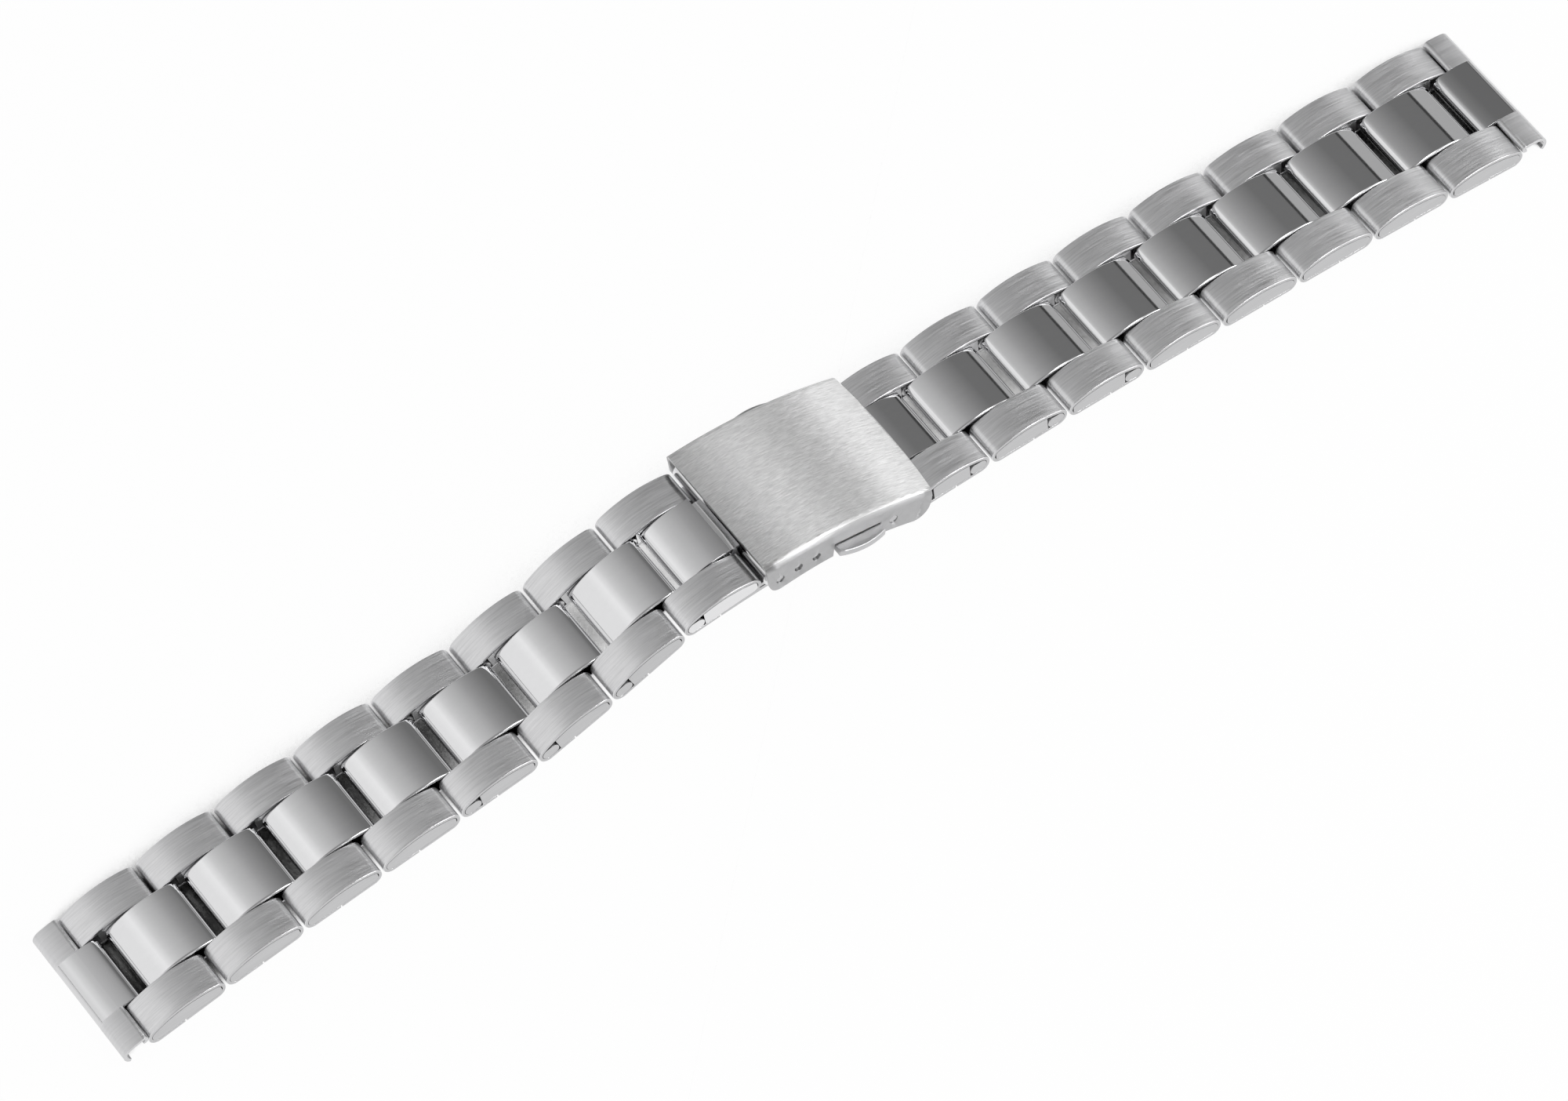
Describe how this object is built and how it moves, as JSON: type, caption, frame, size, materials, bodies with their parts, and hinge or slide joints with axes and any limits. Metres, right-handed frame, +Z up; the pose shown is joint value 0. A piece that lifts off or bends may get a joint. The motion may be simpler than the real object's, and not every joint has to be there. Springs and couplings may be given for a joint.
{
  "type": "link watch bracelet",
  "caption": "Folded-sheet link watch bracelet with polished centre links, brushed outer links and a push-button folding clasp.",
  "frame": {"origin": "centre of the bounding box in plan, on the table the lug ends rest on", "axes": "+X along the strap from the left lug end to the right one, +Y across the strap, +Z up"},
  "size_m": [0.1838, 0.0216, 0.0146],
  "materials": {
    "brushed_steel": "lengthwise brushed",
    "polished_steel": "mirror polished",
    "satin_steel": "satin",
    "pin_steel": "turned"
  },
  "bodies": {
    "cover": {"clasp_cover": "brushed_steel", "button_guide": "satin_steel", "button_spring": "pin_steel", "cover_hinge_pin": "pin_steel", "spring_bar": "pin_steel"},
    "near_button": {"near_push_button": "satin_steel"},
    "far_button": {"far_push_button": "satin_steel"},
    "middle_blade": {"middle_blade": "satin_steel", "blade_hinge_pin": "pin_steel"},
    "end_blade": {"end_blade": "satin_steel"},
    "left_8": {"left_8_outer_links": "brushed_steel", "left_8_centre_link": "polished_steel", "left_8_core_and_pin": "satin_steel"},
    "left_7": {"left_7_outer_links": "brushed_steel", "left_7_centre_link": "polished_steel", "left_7_core_and_pin": "satin_steel"},
    "left_6": {"left_6_outer_links": "brushed_steel", "left_6_centre_link": "polished_steel", "left_6_core_and_pin": "satin_steel"},
    "left_5": {"left_5_outer_links": "brushed_steel", "left_5_centre_link": "polished_steel", "left_5_core_and_pin": "satin_steel"},
    "left_4": {"left_4_outer_links": "brushed_steel", "left_4_centre_link": "polished_steel", "left_4_core_and_pin": "satin_steel"},
    "left_3": {"left_3_outer_links": "brushed_steel", "left_3_centre_link": "polished_steel", "left_3_core_and_pin": "satin_steel"},
    "left_2": {"left_2_outer_links": "brushed_steel", "left_2_centre_link": "polished_steel", "left_2_core_and_pin": "satin_steel"},
    "left_1": {"left_1_outer_links": "brushed_steel", "left_1_centre_link": "polished_steel", "left_1_core_and_pin": "satin_steel"},
    "left_plate": {"left_end_plate": "satin_steel"},
    "right_8": {"right_8_outer_links": "brushed_steel", "right_8_centre_link": "polished_steel", "right_8_core_and_pin": "satin_steel"},
    "right_7": {"right_7_outer_links": "brushed_steel", "right_7_centre_link": "polished_steel", "right_7_core_and_pin": "satin_steel"},
    "right_6": {"right_6_outer_links": "brushed_steel", "right_6_centre_link": "polished_steel", "right_6_core_and_pin": "satin_steel"},
    "right_5": {"right_5_outer_links": "brushed_steel", "right_5_centre_link": "polished_steel", "right_5_core_and_pin": "satin_steel"},
    "right_4": {"right_4_outer_links": "brushed_steel", "right_4_centre_link": "polished_steel", "right_4_core_and_pin": "satin_steel"},
    "right_3": {"right_3_outer_links": "brushed_steel", "right_3_centre_link": "polished_steel", "right_3_core_and_pin": "satin_steel"},
    "right_2": {"right_2_outer_links": "brushed_steel", "right_2_centre_link": "polished_steel", "right_2_core_and_pin": "satin_steel"},
    "right_1": {"right_1_outer_links": "brushed_steel", "right_1_centre_link": "polished_steel", "right_1_core_and_pin": "satin_steel"},
    "right_plate": {"right_end_plate": "satin_steel"}
  },
  "joints": [
    {"name": "strap_bar_hinge", "type": "hinge", "parent": "cover", "child": "left_8", "pos_m": [-0.00812, 0, 0.01176], "axis": [0, 1, 0], "range_deg": [0, 24]},
    {"name": "cover_blade_hinge", "type": "hinge", "parent": "cover", "child": "middle_blade", "pos_m": [0.00611, 0, 0.00955], "axis": [0, 1, 0], "range_deg": [-165, 0]},
    {"name": "blade_fold_hinge", "type": "hinge", "parent": "middle_blade", "child": "end_blade", "pos_m": [-0.01426, 0, 0.00962], "axis": [0, 1, 0], "range_deg": [0, 165]},
    {"name": "strap_end_hinge", "type": "hinge", "parent": "end_blade", "child": "right_8", "pos_m": [0.01039, 0, 0.00769], "axis": [0, 1, 0], "range_deg": [0, 40]},
    {"name": "left_hinge_8", "type": "hinge", "parent": "left_8", "child": "left_7", "pos_m": [-0.01852, 0, 0.01146], "axis": [0, 1, 0], "range_deg": [-15.7, 30.3]},
    {"name": "left_hinge_7", "type": "hinge", "parent": "left_7", "child": "left_6", "pos_m": [-0.02809, 0, 0.00857], "axis": [0, 1, 0], "range_deg": [-32.2, 13.8]},
    {"name": "left_hinge_6", "type": "hinge", "parent": "left_6", "child": "left_5", "pos_m": [-0.03777, 0, 0.00605], "axis": [0, 1, 0], "range_deg": [-40, 6]},
    {"name": "left_hinge_5", "type": "hinge", "parent": "left_5", "child": "left_4", "pos_m": [-0.04773, 0, 0.00525], "axis": [0, 1, 0], "range_deg": [-30.6, 15.4]},
    {"name": "left_hinge_4", "type": "hinge", "parent": "left_4", "child": "left_3", "pos_m": [-0.05771, 0, 0.00455], "axis": [0, 1, 0], "range_deg": [-29.6, 16.4]},
    {"name": "left_hinge_3", "type": "hinge", "parent": "left_3", "child": "left_2", "pos_m": [-0.06768, 0, 0.00379], "axis": [0, 1, 0], "range_deg": [-28.8, 17.2]},
    {"name": "left_hinge_2", "type": "hinge", "parent": "left_2", "child": "left_1", "pos_m": [-0.07763, 0, 0.00281], "axis": [0, 1, 0], "range_deg": [-28, 18]},
    {"name": "left_hinge_1", "type": "hinge", "parent": "left_1", "child": "left_plate", "pos_m": [-0.08754, 0, 0.00149], "axis": [0, 1, 0], "range_deg": [-29.6, 16.4]},
    {"name": "right_hinge_8", "type": "hinge", "parent": "right_8", "child": "right_7", "pos_m": [0.01784, 0, 0.00749], "axis": [0, 1, 0], "range_deg": [-16.7, 29.3]},
    {"name": "right_hinge_7", "type": "hinge", "parent": "right_7", "child": "right_6", "pos_m": [0.02783, 0, 0.00711], "axis": [0, 1, 0], "range_deg": [-17.7, 28.3]},
    {"name": "right_hinge_6", "type": "hinge", "parent": "right_6", "child": "right_5", "pos_m": [0.03781, 0, 0.00643], "axis": [0, 1, 0], "range_deg": [-16.9, 29.1]},
    {"name": "right_hinge_5", "type": "hinge", "parent": "right_5", "child": "right_4", "pos_m": [0.04777, 0, 0.00559], "axis": [0, 1, 0], "range_deg": [-16.3, 29.7]},
    {"name": "right_hinge_4", "type": "hinge", "parent": "right_4", "child": "right_3", "pos_m": [0.05773, 0, 0.0047], "axis": [0, 1, 0], "range_deg": [-15.9, 30.1]},
    {"name": "right_hinge_3", "type": "hinge", "parent": "right_3", "child": "right_2", "pos_m": [0.06769, 0, 0.00383], "axis": [0, 1, 0], "range_deg": [-17.5, 28.5]},
    {"name": "right_hinge_2", "type": "hinge", "parent": "right_2", "child": "right_1", "pos_m": [0.07763, 0, 0.0027], "axis": [0, 1, 0], "range_deg": [-17.5, 28.5]},
    {"name": "right_hinge_1", "type": "hinge", "parent": "right_1", "child": "right_plate", "pos_m": [0.08753, 0, 0.00131], "axis": [0, 1, 0], "range_deg": [-14, 32]},
    {"name": "near_button_slide", "type": "slide", "parent": "cover", "child": "near_button", "axis": [0, 1, 0], "range_m": [0, 0.0008], "stiffness_N_per_m": 150, "springref_m": -0.002},
    {"name": "far_button_slide", "type": "slide", "parent": "cover", "child": "far_button", "axis": [0, -1, 0], "range_m": [0, 0.0008], "stiffness_N_per_m": 150, "springref_m": -0.002}
  ],
  "couplings": [
    {"joint": "blade_fold_hinge", "follows": "cover_blade_hinge", "ratio": -1}
  ]
}
